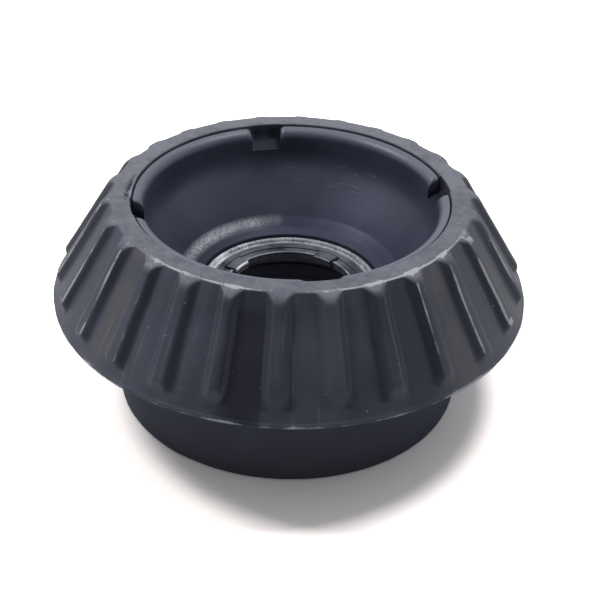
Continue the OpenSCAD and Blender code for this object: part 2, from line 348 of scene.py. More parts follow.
def swept(section, columns, count, first):
    """A closed mesh swept round the axis. section(angle) gives the points at each angle, and columns are the
    angles of one sector from its middle. Each vertex keeps its place on the section as its row."""
    bm = bmesh.new()
    row = bm.verts.layers.int.new("row")
    points = section(first)
    ring = []
    for i, point in enumerate(points):
        vert = bm.verts.new((point.x, 0, point.y))
        vert[row] = i
        ring.append(vert)
    edges = [bm.edges.new((ring[i - 1], ring[i])) for i in range(len(ring))]
    turn = Matrix.Rotation(first + columns[0], 3, "Z")
    bmesh.ops.rotate(bm, verts=bm.verts, cent=(0, 0, 0), matrix=turn)
    for start, end in zip(columns, columns[1:]):
        made = bmesh.ops.extrude_edge_only(bm, edges=edges)["geom"]
        verts = [g for g in made if isinstance(g, bmesh.types.BMVert)]
        fresh = set(verts)
        edges = [g for g in made if isinstance(g, bmesh.types.BMEdge) and fresh.issuperset(g.verts)]
        bmesh.ops.rotate(bm, verts=verts, cent=(0, 0, 0), matrix=Matrix.Rotation(end - start, 3, "Z"))
    bmesh.ops.spin(
        bm,
        geom=bm.verts[:] + bm.edges[:] + bm.faces[:],
        cent=(0, 0, 0),
        axis=(0, 0, 1),
        angle=pitch_of(count) * (count - 1),
        steps=count - 1,
        use_duplicate=True,
    )
    bmesh.ops.remove_doubles(bm, verts=bm.verts, dist=0.5e-6)
    sections = {}
    for vert in bm.verts:
        angle = math.atan2(vert.co.y, vert.co.x)
        key = round(angle, 5)
        if key not in sections:
            sections[key] = section(angle)
        r, z = sections[key][vert[row]]
        vert.co = (r * math.cos(angle), r * math.sin(angle), z)
    return bm


def piece(name, bm, body, slot, material, *nodes, sharp=40):
    """Turns a bmesh into a finished piece that stands for CAD nodes and rides on their body."""
    bmesh.ops.remove_doubles(bm, verts=bm.verts, dist=0.5e-6)
    bmesh.ops.dissolve_degenerate(bm, edges=bm.edges, dist=0.5e-6)
    bmesh.ops.recalc_face_normals(bm, faces=bm.faces)
    mesh = bpy.data.meshes.new(name)
    bm.to_mesh(mesh)
    bm.free()
    mesh.shade_smooth()
    mesh.set_sharp_from_angle(angle=math.radians(sharp))
    mesh.materials.append(material)
    obj = bpy.data.objects.new(name, mesh)
    bpy.context.scene.collection.objects.link(obj)
    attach(obj, body)
    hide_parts(*nodes)
    return obj


# Materials


def drive(node, inputs):
    """Links a node's inputs to sockets, or sets them to plain values."""
    for name, value in inputs.items():
        if isinstance(value, bpy.types.NodeSocket):
            node.id_data.links.new(value, node.inputs[name])
        else:
            node.inputs[name].default_value = value


def add(tree, kind, inputs=None, **settings):
    """A shader node with its settings made and its inputs set or linked."""
    node = tree.nodes.new("ShaderNode" + kind)
    for name, value in settings.items():
        setattr(node, name, value)
    drive(node, inputs or {})
    return node


def empty_tree(owner):
    """The node tree of a material or a world, cleared."""
    owner.use_nodes = True
    owner.node_tree.nodes.clear()
    return owner.node_tree


def new_material(name):
    """An empty material with a Principled shader, and the place of a point on the object."""
    material = bpy.data.materials.new(name)
    tree = empty_tree(material)
    shader = add(tree, "BsdfPrincipled")
    add(tree, "OutputMaterial", {"Surface": shader.outputs["BSDF"]})
    return material, shader, add(tree, "TexCoord").outputs["Object"]


# Each of these adds its nodes to the tree of the socket that it is given


def grain(point, scale, detail=4.0, roughness=0.6):
    """Noise of so many features a metre."""
    inputs = {"Vector": point, "Scale": scale, "Detail": detail, "Roughness": roughness}
    return add(point.id_data, "TexNoise", inputs).outputs["Fac"]


def between(value, low, high, out_low=0.0, out_high=1.0):
    """Spreads a value between two marks, cut off outside them."""
    inputs = {"Value": value, "From Min": low, "From Max": high, "To Min": out_low, "To Max": out_high}
    return add(value.id_data, "MapRange", inputs).outputs["Result"]


def maths(operation, a, b):
    """One step of arithmetic."""
    return add(a.id_data, "Math", {0: a, 1: b}, operation=operation).outputs[0]


# Product, sum, difference and larger of two values
times = partial(maths, "MULTIPLY")
plus = partial(maths, "ADD")
less = partial(maths, "SUBTRACT")
most = partial(maths, "MAXIMUM")


def band(value, start, full, fading, end):
    """1 between two marks, with a soft edge outside each."""
    return times(between(value, start, full), between(value, end, fading))


def axis(vector, letter):
    """One coordinate of a point or a direction."""
    return add(vector.id_data, "SeparateXYZ", {0: vector}).outputs[letter]


def upright(point):
    """How far the surface at a point faces up, from -1 to 1."""
    return axis(add(point.id_data, "TexCoord").outputs["Normal"], "Z")


def mark(point, name):
    """A value that the mesh keeps at a point."""
    return add(point.id_data, "Attribute", attribute_name=name).outputs["Fac"]


def shade(tone, factor):
    """A colour made darker or lighter."""
    return tuple(factor * c for c in tone)


def tint(factor, a, b):
    """A colour between two others."""
    first = a if isinstance(a, bpy.types.NodeSocket) else (*a, 1)
    return add(factor.id_data, "Mix", {0: factor, 6: first, 7: (*b, 1)}, data_type="RGBA").outputs[2]


def bump(height, strength, distance, normal=None):
    """Relief from a height, on top of other relief."""
    inputs = {"Height": height, "Strength": strength, "Distance": distance}
    if normal is not None:
        inputs["Normal"] = normal
    return add(height.id_data, "Bump", inputs).outputs["Normal"]


def arrow(operation, inputs):
    """One step of vector arithmetic."""
    return add(inputs[0].id_data, "VectorMath", inputs, operation=operation).outputs


def drum(point):
    """The level direction of a point from the axis."""
    flat = arrow("MULTIPLY", {0: point, 1: (1, 1, 0)})[0]
    return arrow("NORMALIZE", {0: flat})[0]


def round_axis(point, across, along):
    """Coordinates on a drum round the axis: across stretches them round it, along stretches them up it."""
    ring = arrow("SCALE", {0: drum(point), "Scale": DRUM_RADIUS * across})[0]
    up = arrow("MULTIPLY", {0: point, 1: (0, 0, along)})[0]
    return arrow("ADD", {0: ring, 1: up})[0]


def facing(point, side, ragged, soft=0.4):
    """1 on the side of the drum that faces a direction, with a soft edge made ragged by a noise."""
    direction, half = side
    aim = (math.cos(direction), math.sin(direction), 0)
    near = arrow("DOT_PRODUCT", {0: drum(point), 1: aim})["Value"]
    edge = 1 - math.cos(half)
    shaken = plus(near, times(less(ragged, 0.5), 2 * edge))
    return between(shaken, 1 - edge, 1 - (1 - soft) * edge)


def moulded_rubber(s):
    """Black rubber with grey bloom, smears down the slope, one oily gap, dust on top, pale flash, painted
    highlights on edges and painted shade on the rib flanks.
    """
    material, shader, point = new_material("moulded_rubber")
    cloud = grain(point, 38, 3)
    streak = grain(round_axis(point, 1.0, 0.1), 190, 5, 0.55)
    mottle = grain(point, 420, 5, 0.65)
    stain = grain(point, 85, 4, 0.6)
    mixed = plus(times(cloud, 0.6), times(streak, 0.4))
    height = axis(point, "Z")
    collar = between(height, 27.5 * MM, 26 * MM)
    slope = between(height, 51 * MM, 49 * MM)
    oily = times(facing(point, OILY_GAP, streak), slope)

    # The rubber itself, with bloom, stains, browned and dark gaps, painted shade on the rib flanks, and a
    # paler collar
    bloom = less(between(mixed, 0.4, 0.6), oily)
    stained = times(between(stain, 0.52, 0.68), 0.5)
    base = tint(stained, tint(bloom, s.rubber, s.bloom), s.stain)
    tone = mark(point, "tone")
    browned = times(between(tone, 0.1, 1.0), between(stain, 0.35, 0.6, 0.4, 0.9))
    base = tint(browned, base, s.brown)
    base = tint(between(tone, -0.1, -1.1, 0.0, 0.9), base, s.dark)
    base = tint(times(collar, 0.7), base, s.collar)

    # Dust on level faces, paler towards the back
    level = between(upright(point), 0.55, 0.95)
    patchy = between(plus(mottle, stain), 0.8, 1.15, 0.4, 0.95)
    patchy = times(patchy, between(grain(point, 1500, 3, 0.7), 0.35, 0.65, 0.75, 1.15))
    toward_back = between(axis(point, "Y"), -42 * MM, 42 * MM, 0.85, 1.5)
    dust = times(times(level, patchy), toward_back)

    # Pale flash and torn edge, painted highlights on the rim, rib tips, feet and crest edges, scratches down
    # the slope and small dots
    rubbed_and_highlit = between(times(mark(point, "wear_and_painted_light"), mottle), 0.2, 0.5)
    scratch = grain(round_axis(point, 1.0, 0.04), 900, 2, 0.5)
    scratches = between(scratch, 0.64, 0.74, 0.0, 0.2)
    scratches = times(scratches, between(cloud, 0.52, 0.64))
    dots = between(grain(point, 620, 2, 0.5), 0.735, 0.77, 0.0, 0.4)
    marks = most(rubbed_and_highlit, less(most(scratches, dots), collar))

    dull = less(between(mixed, 0.38, 0.62, 0.42, 0.56), times(oily, 0.14))
    dull = plus(dull, times(dust, 0.12))
    relief = bump(grain(point, 5200, 2), 0.12, 0.05 * MM)
    relief = bump(mottle, 0.32, 0.25 * MM, relief)
    drive(shader, {
        "Base Color": tint(marks, tint(dust, base, s.dust), s.scuff_and_highlight),
        "Roughness": plus(dull, times(collar, 0.25)),
        "Specular IOR Level": between(collar, 0.0, 1.0, 0.5, 0.15),
        "Specular Tint": COOL_GLOSS,
        "Normal": bump(streak, 0.3, 0.4 * MM, relief),
    })
    return material


def cup_coat(s):
    """Satin black coat on pressed steel, wiped at the back of the wall, with a painted glint band in the left
    of the base, a painted highlight on the lip, and painted shade in the notches and round the hole.
    """
    material, shader, point = new_material("cup_coat")
    cloud = grain(point, 46, 3)
    wipe = grain(round_axis(point, 0.12, 1.0), 1500, 3, 0.5)
    speck = grain(point, 1500, 3, 0.7)
    height = axis(point, "Z")
    wear_and_painted_light = mark(point, "wear_and_painted_light")

    # Painted glints on the fillet between the wall and the base, on the left
    glint_band = band(height, 30 * MM, 31.2 * MM, 31.6 * MM, 33 * MM)
    glint_band = times(glint_band, facing(point, PAINTED_GLINT_SIDE, cloud, 0.95))
    glint_band = times(glint_band, between(speck, 0.36, 0.62, 0.3, 1.0))
    wiped = band(height, 38 * MM, 40 * MM, 45 * MM, 47 * MM)
    wiped = times(wiped, facing(point, WIPED_SIDE, cloud))
    wiped = times(wiped, between(wipe, 0.6, 0.72, 0.0, 0.5))
    # Painted highlight on the lip's upward faces, left out of the notches
    lip = between(upright(point), 0.3, 0.9, 0.0, 0.55)
    lip = times(lip, between(wear_and_painted_light, 0.0, -1.0, 1.0, 0.0))
    lip = times(lip, between(height, 45 * MM, 48 * MM))
    marks = most(wiped, lip)
    base = tint(between(cloud, 0.35, 0.65), s.coat, shade(s.coat, 1.35))
    # Painted shade in the notches and, less, round the hole
    base = tint(between(wear_and_painted_light, 0.0, -1.0), base, shade(s.coat, 0.4))

    rough = between(cloud, 0.35, 0.65, 0.34, 0.44)
    gloss = between(wear_and_painted_light, 0.0, -1.0, 0.5, 0.06)
    orange_peel = bump(grain(point, 900, 2), 0.12, 0.12 * MM)
    drive(shader, {
        "Base Color": tint(glint_band, tint(marks, base, s.wiped), s.painted_glints),
        "Roughness": plus(rough, times(marks, 0.1)),
        "Specular IOR Level": times(gloss, between(height, 31 * MM, 36 * MM, 0.2, 1.0)),
        "Specular Tint": COOL_GLOSS,
        "Normal": bump(speck, 0.16, 0.1 * MM, orange_peel),
    })
    return material


def case_plastic(s, name, plastic):
    """Moulded plastic with a haze of dust and grease on its upward faces, which also paints the sheen of the
    room above, and rough pale edges with painted highlights and glints.
    """
    material, shader, point = new_material(name)
    haze = grain(point, 160, 5, 0.65)
    speck = grain(point, 1400, 3, 0.7)
    wear_and_painted_light = mark(point, "wear_and_painted_light")
    # Haze on upward faces, which also paints the sheen of the bright room above
    film = between(upright(point), 0.2, 0.9, 0.25, 1.0)
    film = times(film, between(haze, 0.3, 0.6))
    # Pale marks from the mesh: the neck's bead and hole edge, with painted highlights, glints and painted
    # light in the hole
    rubbed_and_highlit = times(wear_and_painted_light, between(speck, 0.36, 0.6, 0.25, 1.0))
    worn_and_highlit = tint(rubbed_and_highlit, tint(film, plastic, s.grease), s.rubbed_and_highlit)
    hazy = between(film, 0.0, 1.0, 0.34, 0.5)
    # The brightest marks are painted glints
    drive(shader, {
        "Base Color": tint(between(wear_and_painted_light, 1.0, 1.4), worn_and_highlit, s.bright),
        "Roughness": most(hazy, between(wear_and_painted_light, 0.0, 0.5, 0.0, 0.65)),
        "Specular Tint": PLASTIC_GLOSS,
        "Normal": bump(speck, 0.25, 0.12 * MM),
    })
    return material


def ground_steel(s):
    """Races: steel ground round the axis."""
    material, shader, point = new_material("ground_steel")
    lines = grain(round_axis(point, 0.05, 1.0), 9000, 3)
    drive(shader, {
        "Base Color": tint(lines, shade(s.steel, 0.7), s.steel),
        "Roughness": between(lines, 0.3, 0.7, 0.22, 0.38),
        "Normal": bump(lines, 0.15, 0.03 * MM),
        "Metallic": 1,
    })
    return material


def polished_steel(s):
    """Balls: polished steel with a film of grease."""
    material, shader, point = new_material("polished_steel")
    film = grain(point, 700, 3)
    drive(shader, {
        "Base Color": tint(film, shade(s.ball, 0.85), s.ball),
        "Roughness": between(film, 0.35, 0.65, 0.06, 0.16),
        "Metallic": 1,
    })
    return material


def cage_nylon(s):
    """Ball cage: natural nylon, a little cloudy."""
    material, shader, point = new_material("cage_nylon")
    cloud = grain(point, 260, 4)
    drive(shader, {
        "Base Color": tint(cloud, shade(s.nylon, 0.8), s.nylon),
        "Roughness": between(cloud, 0.3, 0.7, 0.42, 0.55),
        "Normal": bump(grain(point, 2600, 2), 0.1, 0.05 * MM),
    })
    return material


def seal_rubber(s):
    """Lip seals: matt grey rubber."""
    material, shader, point = new_material("seal_rubber")
    cloud = grain(point, 500, 4)
    drive(shader, {
        "Base Color": tint(cloud, s.seal, shade(s.seal, 1.3)),
        "Roughness": between(cloud, 0.3, 0.7, 0.5, 0.7),
        "Normal": bump(grain(point, 4200, 2), 0.12, 0.05 * MM),
    })
    return material


# Sections of the pieces


class RubberPlace(NamedTuple):
    """How the rubber differs at one angle."""

    aside: float  # angle from the nearest rib's middle
    width: float  # that rib's width, as a share
    height: float  # that rib's height, as a share
    lift: float  # how far up the slope its foot is moved
    run: float  # length of its foot
    notch: float  # 1 in a notch of the cup, 0 elsewhere
    slit: float  # width of the slit round the cup
    tear: float  # depth of the tear beside that slit


def rubber_place(s, cup, first, angle):
    """How the rubber differs at an angle, with the cup's first notch at another."""
    pitch = pitch_of(s.rib_count)
    aside, number = away_from(angle, s.first_rib, pitch)
    beside, _ = away_from(angle, first, pitch_of(cup.notch_count))
    seed = Vector((1.7 * (number % s.rib_count), 3.1, 0))
    ragged = noise.noise(30 * Vector((math.cos(angle), math.sin(angle), 0)))
    torn = humps(angle, TORN_SLIT)
    return RubberPlace(
        aside=aside + math.radians(0.35) * noise.noise(seed),
        width=1 + 0.25 * noise.noise(seed + Vector((4, 0, 3))),
        height=0.92 + 0.14 * noise.noise(seed + Vector((0, 0, 9))),
        lift=1.3 * MM * noise.noise(seed + Vector((0, 5, 0))),
        run=s.rib_foot * (1 + humps(s.first_rib + number * pitch, SOFT_FEET)),
        notch=1.0 if abs(beside) < notch_half(cup) else 0.0,
        slit=s.slit_width * (1 + torn * (1 + 0.4 * ragged) + 0.15 * ragged),
        tear=0.9 * MM * humps(angle, TEAR) * (1 + ragged),
    )


def notch_half(cup):
    """Half the angle that a notch spans."""
    return math.asin(cup.notch_width / 2 / CUP_RADIUS)


def cone_lean(s):
    """Angle of the cone's side from the axis."""
    return math.atan2(s.skirt_radius - s.land_radius, MOUNT_TOP - s.skirt_height)


def rubber_section(s, cup, at):
    """The rubber's section at a place: up its outside, over the land and down along the cup and bearing."""
    lean = cone_lean(s)
    slope = (MOUNT_TOP - s.skirt_height) / math.cos(lean)
    spread_run = 5 * MM
    notch_gap = at.notch * 0.2 * MM
    notch_fall = at.notch * 0.7 * MM
    lip = 0.18 * MM
    rows = 14

    def rib(along):
        spread = smooth((along - slope) / spread_run + 1)
        crest = at.width * s.crest_half
        base = at.width * (s.foot_half + spread * s.foot_spread)
        return at.height * (1 - ramp((abs(at.aside) - crest) / (base - crest)))

    def on_slope(along):
        proud = rib(along) * s.rib_height / math.cos(lean) * ramp((along - s.rim_band - at.lift) / at.run)
        return Vector((
            s.skirt_radius - along * math.sin(lean) + proud,
            s.skirt_height + along * math.cos(lean),
        ))

    foot_top = s.rim_band + 2 * s.rib_foot
    shoulder = slope - 3.6 * MM
    side = [on_slope(foot_top * i / rows) for i in range(1, rows + 1)]
    side += [on_slope(foot_top + (shoulder - foot_top) * i / rows) for i in range(1, rows + 1)]

    slit_radius = CUP_RADIUS + at.slit + notch_gap
    slit_floor = MOUNT_TOP - s.slit_depth
    notch_floor = CUP_HIGH.z - cup.notch_depth + cup.notch_rise
    floor = slit_floor + at.notch * (notch_floor - slit_floor)
    slit_top = Vector((slit_radius, MOUNT_TOP))
    top_round = s.land_round + min(rib(slope), 1) * (s.rib_round - s.land_round)
    edge = rounded(side[-1], on_slope(slope), slit_top, top_round, 8)
    brink = rounded(edge[-1], slit_top, (slit_radius, floor), 0.5 * MM, 4)
    wall = even(brink[-1], (slit_radius, floor), 3) + [Vector((CUP_RADIUS, floor - notch_fall))]
    land = even(edge[-1], brink[0], 5)[:-1]
    land[-1].y -= at.tear

    root = s.skirt_height - 2.2 * MM
    under = Vector((s.skirt_radius - 0.9 * MM, s.skirt_height - 0.45 * MM))
    skirt_edge = [Vector((s.skirt_radius, s.skirt_height + up)) for up in (-lip, lip)]
    foot = rounded((CUP_RADIUS, 0), (s.collar_radius, 0), (s.collar_radius, root), 0.9 * MM)
    neck = rounded(foot[-1], (s.collar_radius, root), under, 2 * MM)
    collar = [Vector((CUP_RADIUS, 0)), *foot, *even(foot[-1], neck[0], 6)[:-1], *neck]
    skirt = [*even(neck[-1], under, 5), *skirt_edge, *side]
    bore_top = Vector((CUP_RADIUS, CUP_LOW.z))
    bore = [bore_top, *even(bore_top, (CUP_RADIUS, 0), 3)[:-1]]
    return collar + skirt + edge + land + brink + wall + [Vector(p) for p in BONDED_FACE] + bore


def cup_section(s, notch):
    """The cup's section, with its lip pressed down to the notch's sloping floor by a share."""
    inner = CUP_RADIUS - s.wall
    lip = CUP_HIGH.z - s.wall
    back_top, *back_low = BONDED_FACE
    base = [
        (s.hole_radius, CUP_LOW.z, 0),
        (s.hole_radius, 29.2 * MM, 0.5 * MM),
        (25.2 * MM, 30.1 * MM, 1.6 * MM),
        (27.7 * MM, 32.3 * MM, 3 * MM),
        (inner, 44.8 * MM, 9 * MM),
    ]
    wall = outline([*base, (inner, lip, 0), (CUP_RADIUS, lip, 0), (CUP_RADIUS, 30 * MM, 0)], 1.5 * MM)
    wall = wall[: wall.index(Vector((inner, lip))) + 1]
    centre = Vector((CUP_RADIUS, lip))
    arc = [math.pi * (1 - 0.5 * i / 12) for i in range(1, 12)]
    crest = [centre + s.wall * Vector((math.cos(a), math.sin(a))) for a in arc]
    rim = rounded(crest[-1], (CUP_RADIUS, CUP_HIGH.z), (CUP_RADIUS, lip), 0.3 * MM, 3)
    points = wall + crest + rim + even(rim[-1], back_top, 6) + [Vector(p) for p in back_low]
    low = CUP_HIGH.z - s.notch_depth
    slope = s.notch_rise / (s.wall + 1 * MM)

    def pressed(p):
        floor = low + slope * (p.x - inner)
        return Vector((p.x, p.y - notch * max(0.0, p.y - floor)))

    return [pressed(p) for p in points]


def case_section(s, lug, slot):
    """The upper case's section: plain, through a lug, or through the narrow slot beside a lug."""
    hole = s.neck_hole
    face = s.neck_height
    neck = CUP_RADIUS - 16.3 * MM
    hole_wall = CASE_LOW.z + 17.6 * MM
    ceiling = hole_wall - 2.5 * MM
    inner_wall = 25.1 * MM
    bed_in = 27.2 * MM
    bed_out = 34.8 * MM
    bed_top = 21.6 * MM
    bed_low = 18.4 * MM
    outer_wall = 37.1 * MM
    mouth = 35.7 * MM
    bead_radius = 0.7 * MM
    bead = Vector((neck - bead_radius, face))
    turns = [math.radians(a) for a in range(-10, 181, 19)]
    rim = [bead + bead_radius * Vector((math.cos(a), math.sin(a))) for a in turns]
    body = outline([
        (hole, hole_wall, 0.3 * MM),
        (hole + 3 * MM, hole_wall, 0),
        (hole + 3 * MM, ceiling, 1 * MM),
        (inner_wall, ceiling, 1 * MM),
        (inner_wall, bed_low, 0.2 * MM),
        (bed_in, bed_low, 0),
        (bed_in, bed_top, 0),
        (bed_out, bed_top, 0),
        (bed_out, bed_low, 0),
        (outer_wall, bed_low, 0.4 * MM),
        (outer_wall, 9 * MM, 0.4 * MM),
        (mouth, 8.3 * MM, 0.3 * MM),
        (mouth, CASE_LOW.z, 0.4 * MM),
        (CUP_RADIUS, CASE_LOW.z, 0.2 * MM),
        (CUP_RADIUS, CUP_LOW.z, 0),
        (neck, CUP_LOW.z, 0),
    ])
    top = 0.2
    tip = -s.lug_reach / MM
    deep = -0.7
    # Places from the hole's edge outwards and from the neck's face upwards, in millimetres
    places = [
        *(((out, 0),) * 3 for out in (4.7, 4.1, 3.5, 2.8)),
        ((2.6, 0), (2.75, deep), (2.75, deep)),
        ((2.4, -0.05), (2.5, deep), (2.5, deep)),
        ((2.4, -0.35), (2.42, top - 0.12), (2.3, deep)),
        ((2.2, -0.4), (2.3, top), (2, deep)),
        ((1.4, -0.4), (1.2, top), (1.2, deep)),
        ((0.75, -0.4), (0, top), (0.6, deep)),
        ((0.65, -0.3), (tip + 1, top), (0.4, deep)),
        ((0.6, -0.2), (tip + 0.5, top), (0.35, deep)),
        ((0.5, -0.1), (tip + 0.3, top), (0.3, deep)),
        ((0.15, -0.1), (tip + 0.05, top - 0.2), (0.2, deep - 0.05)),
        ((0, -0.25), (tip, top - 0.5), (0, deep - 0.2)),
        ((0, -0.7), (tip, -0.6), (0, -1)),
        ((0, -1.1), (tip, -1.1), (0, -1.2)),
        ((0, -1.5), (tip, -1.5), (0, -1.5)),
        ((0, -1.8), (tip + 0.2, -1.8), (0, -1.8)),
        ((0, -1.9), (0, -1.85), (0, -1.9)),
    ]
    state = 1 if lug else 2 if slot else 0
    inner = [Vector((hole, face)) + MM * Vector(place[state]) for place in places]
    return body + rim + inner


def turntable_outline():
    """The lower case's section: the seat for the spring plate below, the bed of the lower race above."""
    low = TURN_LOW.z
    rim = TURN_HIGH.z
    web = low + 3 * MM
    outer = TURN_HIGH.x
    seat = outer - 1.4 * MM
    tube = ROD_RADIUS + 3 * MM
    race_in = 2 * BALL_RING - RACE_HIGH.x
    return outline([
        (ROD_RADIUS, low, 0.5 * MM),
        (seat, low, 0.6 * MM),
        (seat, web, 0),
        (outer, web, 0.4 * MM),
        (outer, rim, 0),
        (RACE_HIGH.x, rim, 0),
        (RACE_HIGH.x, RACE_LOW.z, 0),
        (race_in, RACE_LOW.z, 0),
        (race_in, rim, 0),
        (race_in - 2.8 * MM, rim, 0),
        (race_in - 2.8 * MM, web, 1.5 * MM),
        (tube, web, 1 * MM),
        (tube, web + 3 * MM, 0.4 * MM),
        (ROD_RADIUS, web + 3 * MM, 0.4 * MM),
    ])


# Marks that the meshes keep at their vertices


def front_side(angle, beside):
    """Whether a point beside a rib's middle is on the side of that rib that turns to the front."""
    return beside > 0 if math.remainder(math.degrees(angle) - FRONT, 360) < 0 else beside < 0


def rib_foot_top(s):
    """Height at which a rib of the plain kind stands clear of its foot."""
    return s.skirt_height + (s.rim_band + s.rib_foot) * math.cos(cone_lean(s))


def on_skirt_edge(s, r, z):
    """Whether a point is on the skirt's edge, where the flash is."""
    return abs(z - s.skirt_height) < 0.25 * MM and r > s.skirt_radius - 0.5 * MM


def rubber_tone(s, angle, r, z, blotch):
    """How brown the rubber is at a point, above 0, or how dark, below 0: oily gaps, and painted shade on the
    rib flanks.
    """
    pitch = pitch_of(s.rib_count)
    tone = 0.0
    if z > s.skirt_height and r > s.land_radius - 0.5 * MM:
        brown = max(hump(angle, gap, GAP_HALF) for gap in BROWN_GAPS)
        dark = max(hump(angle, gap, GAP_HALF) for gap in DARK_GAPS)
        own = noise.noise(Vector((2.3 * round(angle / pitch), 7, 1)))
        tone = brown - 0.9 * dark + 0.6 * own
    # Painted shade on the flanks that turn to the front, and on both flanks of the front ribs
    if rib_foot_top(s) - 1.5 * MM < z < MOUNT_TOP - 0.6 * MM:
        beside, _ = away_from(angle, s.first_rib, pitch)
        from_flank = abs(abs(beside) - PAINTED_SHADE_ASIDE)
        painted_shade = smooth(1.3 - from_flank / PAINTED_SHADE_HALF) * (1.1 + 0.5 * blotch)
        tone -= painted_shade * (1.1 if front_side(angle, beside) else humps(angle, PAINTED_SHADE_FRONT))
    return tone


def rubber_wear_and_highlights(s, angle, r, z, rough, blotch):
    """How pale the rubber is at a point: flash and a torn edge, and painted highlights on the rim, rib tips,
    feet and crest edges.
    """
    beside, rib = away_from(angle, s.first_rib, pitch_of(s.rib_count))
    aside = abs(beside)
    foot_top = rib_foot_top(s)
    if on_skirt_edge(s, r, z):
        return 0.55 + 0.6 * rough + 0.5 * blotch + humps(angle, RUBBED_FLASH)
    if z > MOUNT_TOP - 0.6 * MM and r < CUP_RADIUS + 1.4 * MM:
        return humps(angle, TORN_EDGE) * (0.8 + 0.5 * rough)
    # Painted highlight along the land's rim
    if r > s.land_radius - 0.8 * MM and 0.02 * MM < MOUNT_TOP - z < 0.2 * MM:
        return (humps(angle, PAINTED_RIM_HIGHLIGHT) + 0.25) * (0.9 + 0.6 * rough + 0.4 * blotch)
    # Painted glints on the rib tips
    on_crest = aside < s.crest_half + math.radians(0.4)
    if MOUNT_TOP - 1.5 * MM < z < MOUNT_TOP - 0.45 * MM and on_crest:
        tip = smooth(0.5 + 1.5 * noise.noise(Vector((1.9 * rib, 4, 2))))
        return tip * (0.8 + 0.8 * rough)
    # Painted highlights on the ribs' feet
    if foot_top - 1 * MM < z < foot_top + 1.2 * MM and aside < s.crest_half:
        return 0.15 + 0.6 * blotch + humps(angle, PAINTED_FOOT_HIGHLIGHTS)
    # Painted highlight lines along the crest edges that turn to the front
    if foot_top < z < MOUNT_TOP - 0.3 * MM and front_side(angle, beside):
        from_edge = abs(aside - s.crest_half - HIGHLIGHT_ASIDE)
        at_edge = smooth(1 - from_edge / HIGHLIGHT_HALF)
        return at_edge * (humps(angle, PAINTED_CREST_HIGHLIGHTS) + 0.2) * (0.6 + 0.4 * rough + 0.7 * blotch)
    return 0.0


def neck_wear_and_painted_light(s, angle, r, z, rough):
    """How pale the neck is at a point: its bead, with a painted highlight on its left, its hole's edge,
    painted glints on its lugs and painted light on its hole's wall.
    """
    # Pale bead, with a painted highlight on its left
    if z > s.neck_height - 0.05 * MM and r > s.neck_hole + 4.5 * MM:
        return 0.6 + humps(angle, PAINTED_BEAD_HIGHLIGHT) + 0.3 * rough
    if s.neck_hole - 0.1 * MM < r < s.neck_hole + 0.6 * MM and -0.2 * MM < z - s.neck_height < 0:
        return 0.4 + 0.4 * rough
    # Painted glints on the lugs
    if r < s.neck_hole - 0.6 * MM and abs(z - s.neck_height + 0.85 * MM) > 0.5 * MM:
        return humps(angle, PAINTED_LUG_GLINTS)
    # Painted light on the hole's wall
    if r < s.neck_hole + 0.1 * MM and z < s.neck_height - 0.6 * MM:
        return 0.14 + 0.05 * rough
    return 0.0


# Operators


def first_notch(context):
    """Direction of the first notch, in the gap after the first rib."""
    s = context.scene.strut_rubber
    return s.first_rib + math.pi / s.rib_count


class STRUT_OT_rubber_cone(bpy.types.Operator):
    """Make the ribbed rubber cone with its skirt, collar and top land"""

    bl_idname = "strut.rubber_cone"
    bl_label = "Rubber cone"

    def execute(self, context):
        s = context.scene.strut_rubber
        cup = context.scene.strut_cup
        first = first_notch(context)

        def section(angle):
            return rubber_section(s, cup, rubber_place(s, cup, first, angle))

        half_pitch = pitch_of(s.rib_count) / 2
        half = [0, half_pitch, *(math.radians(a) for a in RIB_COLUMNS)]
        for edge in (half_pitch - notch_half(cup), notch_half(cup)):
            half += [edge - COLUMN_STEP, edge + COLUMN_STEP]
        bm = swept(section, both_sides(sorted(half)), s.rib_count, s.first_rib)
        wear_and_painted_light = bm.verts.layers.float.new("wear_and_painted_light")
        tone = bm.verts.layers.float.new("tone")
        for vert in bm.verts:
            x, y, z = vert.co
            r = math.hypot(x, y)
            if r < CUP_RADIUS + 0.3 * MM or z < 0.1 * MM:
                continue
            angle = math.atan2(y, x)
            rough = noise.noise(vert.co * ROUGH_SCALE)
            blotch = noise.noise(vert.co * BLOTCH_SCALE)
            outward = Vector((x / r, y / r, 0))
            along = Vector((-y / r, x / r, 0))
            vert[tone] = rubber_tone(s, angle, r, z, blotch)
            vert[wear_and_painted_light] = rubber_wear_and_highlights(s, angle, r, z, rough, blotch)
            if on_skirt_edge(s, r, z):
                vert.co += outward * s.flash * (0.3 + 0.35 * rough + 0.35 * blotch)
            drift = noise.noise(vert.co * DRIFT_SCALE) + 0.5 * noise.noise(vert.co * FINE_DRIFT_SCALE)
            sway = noise.noise(vert.co * SWAY_SCALE + Vector((3, 0, 0)))
            vert.co += s.wobble * (outward * drift + along * 3 * sway)
        piece("ribbed_rubber_cone", bm, "mount", "rubber", moulded_rubber(s), "rubber_cone", sharp=55)
        return {"FINISHED"}


